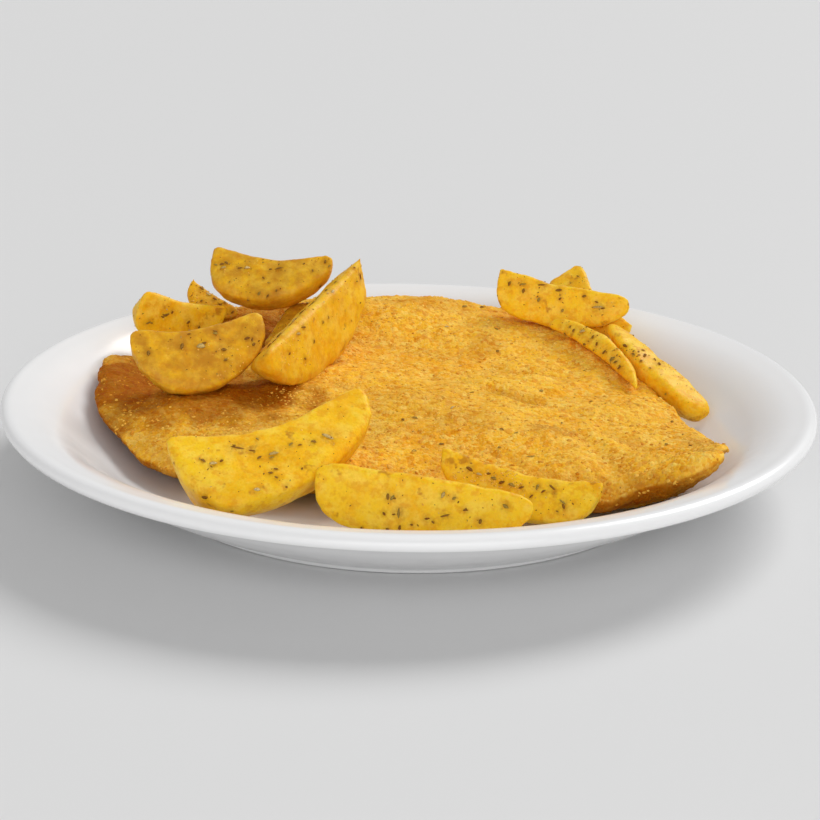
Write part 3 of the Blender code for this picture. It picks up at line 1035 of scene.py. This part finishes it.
def make_herbs(wedges, schnitzel, dark, pale):
    """Dried herbs: the ones that stand out, clusters round them, and a few strays."""
    rng = np.random.default_rng(7)
    shapes = {"dried_herbs": [], "pale_herbs": []}

    def lay(matrix, length, width, kind):
        name, shape = herb_shape(matrix, length * MM, width * MM, kind, rng)
        shapes[name].append(shape)

    for node, piece in zip(WEDGES, wedges):
        marks = HERBS.get(node, ())
        spots = []
        for (place, normal), mark in zip(seen_places(piece, [m[:2] for m in marks]), marks):
            if place is not None:
                matrix = lie_seen(place + normal * 0.08 * MM, normal, mark[4])
                lay(matrix, mark[2] * 0.92, mark[3] * 0.8, mark[5])
                spots.append((place, (0.45 * mark[2] + 0.6) * MM))
        centres = [place for place, _ in spots]
        if not centres:
            centres = [random_places(piece, 1, rng, lambda p, n: True)[0][0]]

        def near_herbs(place, normal):
            away = min((place - centre).length for centre in centres)
            return normal.z > -0.3 and rng.random() < 0.1 + 0.9 * math.exp(-((away / (3.5 * MM)) ** 2))

        for place, normal in random_places(piece, WEDGE_STRAY_HERBS, rng, near_herbs):
            length = min(rng.lognormal(-0.15, 0.4), 2.2)
            kind = rng.choice(["brown", "olive", "pale"], p=[0.62, 0.26, 0.12])
            matrix = lie_anyhow(place + normal * 0.1 * MM, normal, rng)
            lay(matrix, length, length * rng.uniform(0.3, 0.55), kind)
            if length > 1.1:
                spots.append((place, 0.8 * length * MM))
        mark_stains(piece, spots)
    dropped = dropped_places(schnitzel, [mark[:2] for mark in CRUST_HERBS])
    for (place, normal), mark in zip(dropped, CRUST_HERBS):
        lay(lie_seen(place + normal * 0.1 * MM, normal, mark[4]), *mark[2:4], mark[5])
    for place, normal in random_places(schnitzel, CRUST_STRAY_HERBS, rng, lambda p, n: n.z > -0.1):
        length = min(rng.lognormal(-0.2, 0.4), 2)
        kind = rng.choice(["brown", "olive", "pale"], p=[0.35, 0.5, 0.15])
        matrix = lie_anyhow(place + normal * 0.1 * MM, normal, rng)
        lay(matrix, length, length * rng.uniform(0.3, 0.5), kind)
    joined("dried_herbs", shapes["dried_herbs"], dark)
    joined("pale_herbs", shapes["pale_herbs"], pale)


def mark_stains(piece, spots):
    """Stores how browned the potato is round each of the (place, radius) spots."""
    points = coordinates(piece.data).astype(float)
    stain = np.zeros(len(points))
    for place, radius in spots:
        off = np.linalg.norm(points - np.array(place), axis=1)
        stain = np.maximum(stain, 0.62 * np.exp(-((off / radius) ** 2)))
    vertex_value(piece.data, "stain", stain)


def make_pepper(wedges, schnitzel, plate, material):
    """Ground pepper and herb dust over the food, and a few specks on the plate."""
    rng = np.random.default_rng(11)
    shapes = []
    counts = [(wedge, WEDGE_PEPPER) for wedge in wedges] + [(schnitzel, CRUST_PEPPER), (plate, PLATE_PEPPER)]
    for piece, count in counts:
        for place, normal in random_places(piece, count, rng, lambda p, n: n.z > 0.2):
            size = rng.uniform(0.2, 0.6) * MM
            points, faces = grain_shape(lie_anyhow(place, normal, rng), size, rng)
            shapes.append((points, faces, rng.random()))
    joined("ground_pepper", shapes, material)


def make_crumbs(schnitzel, wedges, material):
    """Coarse crumbs standing out of the crust, pale clusters of them, and strays on the wedges."""
    rng = np.random.default_rng(23)
    shapes = []

    def drop(place, normal, size, tone):
        points, faces = grain_shape(lie_anyhow(place - normal * size * 0.1, normal, rng), size, rng)
        shapes.append((points, faces, tone))

    for place, normal in random_places(schnitzel, CRUST_CRUMBS, rng, lambda p, n: n.z > -0.35):
        # Crumbs in the darker zones, mostly painted shadow under the wedges, are fewer and painted darker.
        fried_and_shade = shade_and_fried_share(place)
        if rng.random() > 0.6 * fried_and_shade:
            tone = rng.random() ** 0.7 * (1 - 0.8 * fried_and_shade)
            drop(place, normal, min(rng.lognormal(0.05, 0.4), 2.4) * (1 - 0.3 * fried_and_shade) * MM, tone)
    for x, y, radius, count in CRUMB_CLUSTERS:
        spots = rng.normal(0, 0.5, (count, 2)) * radius + (x, y)
        for place, normal in dropped_places(schnitzel, spots):
            drop(place, normal, rng.uniform(0.6, 1.5) * MM, rng.uniform(0.6, 1))
    for node, piece in zip(WEDGES, wedges):
        for place, normal in random_places(piece, WEDGE_STRAY_CRUMBS, rng, lambda p, n: n.z > 0):
            drop(place, normal, rng.uniform(0.4, 1.0) * MM, rng.uniform(0.5, 1))
        if node in WEDGE_CRUMBS:
            x, y, wide, high, count = WEDGE_CRUMBS[node]
            shares = rng.uniform(-1, 1, (count, 2)) * (wide, high) + (x, y)
            for place, normal in seen_places(piece, shares):
                if place is not None:
                    drop(place, normal, rng.uniform(0.4, 1.0) * MM, rng.uniform(0.7, 1))
    joined("crust_crumbs", shapes, material)


# ---------------------------------------------------------------- stage


def make_floor():
    """A plain pale floor, just under the plate's foot."""
    mesh = bpy.data.meshes.new("floor")
    half = FLOOR_SIZE / 2
    corners = ((-half, -half), (half, -half), (half, half), (-half, half))
    mesh.from_pydata([(x, y, -FLOOR_GAP) for x, y in corners], [], [(0, 1, 2, 3)])
    material, _, shader = new_material("pale_floor", 0.7)
    shader.inputs["Base Color"].default_value = rgba(*FLOOR_COLOUR)
    link("floor", mesh, material)


def make_lights():
    """Two broad studio lights, and an even light from the room."""
    for name, (bearing, height, width, strength) in LIGHTS.items():
        light = bpy.data.lights.new(name, "SUN")
        light.angle = math.radians(width)
        light.energy = strength
        lamp = bpy.data.objects.new(name, light)
        lamp.rotation_euler = (math.radians(90 - height), 0, math.radians(bearing))
        bpy.context.scene.collection.objects.link(lamp)
    world = bpy.data.worlds.new("soft_room")
    world.use_nodes = True
    world.node_tree.nodes["Background"].inputs["Strength"].default_value = ROOM_LIGHT
    world.node_tree.nodes["Background"].inputs["Color"].default_value = rgba(1, 1, 1)
    bpy.context.scene.world = world


def make_camera():
    """The viewer's camera, a little above the food, in front of the plate."""
    camera = bpy.data.cameras.new("camera")
    camera.lens = CAMERA_LENS
    view = bpy.data.objects.new("camera", camera)
    facing = (CAMERA_TARGET - CAMERA_PLACE).to_track_quat("-Z", "Y").to_matrix().to_4x4()
    view.matrix_world = Matrix.Translation(CAMERA_PLACE) @ facing @ Matrix.Rotation(CAMERA_ROLL, 4, "Z")
    bpy.context.scene.collection.objects.link(view)
    bpy.context.scene.camera = view


def main():
    bpy.context.scene.view_settings.view_transform = "Standard"
    make_floor()
    make_lights()
    make_camera()
    patches, crumbs, flecks = make_patches_group(), make_crumb_group(), make_fleck_group()
    plate = make_plate(make_porcelain())
    schnitzel = make_schnitzel(make_crust(patches, crumbs))
    potato = make_potato(patches, crumbs)
    wedges = [make_wedge(node, index, potato) for index, node in enumerate(WEDGES)]
    dark = make_toned(flecks, "dark_herb", rgba(0.27, 0.10, 0.012), rgba(0.42, 0.28, 0.05), 0.85)
    pale = make_toned(flecks, "pale_herb", rgba(0.56, 0.37, 0.10), rgba(0.76, 0.57, 0.25), 0.8)
    pepper = make_toned(flecks, "pepper", rgba(0.18, 0.06, 0.008), rgba(0.56, 0.26, 0.02), 0.85)
    golden = make_toned(flecks, "loose_crumb", rgba(0.66, 0.23, 0.005), rgba(0.98, 0.60, 0.10), 0.7)
    make_herbs(wedges, schnitzel, dark, pale)
    make_pepper(wedges, schnitzel, plate, pepper)
    make_crumbs(schnitzel, wedges, golden)


main()
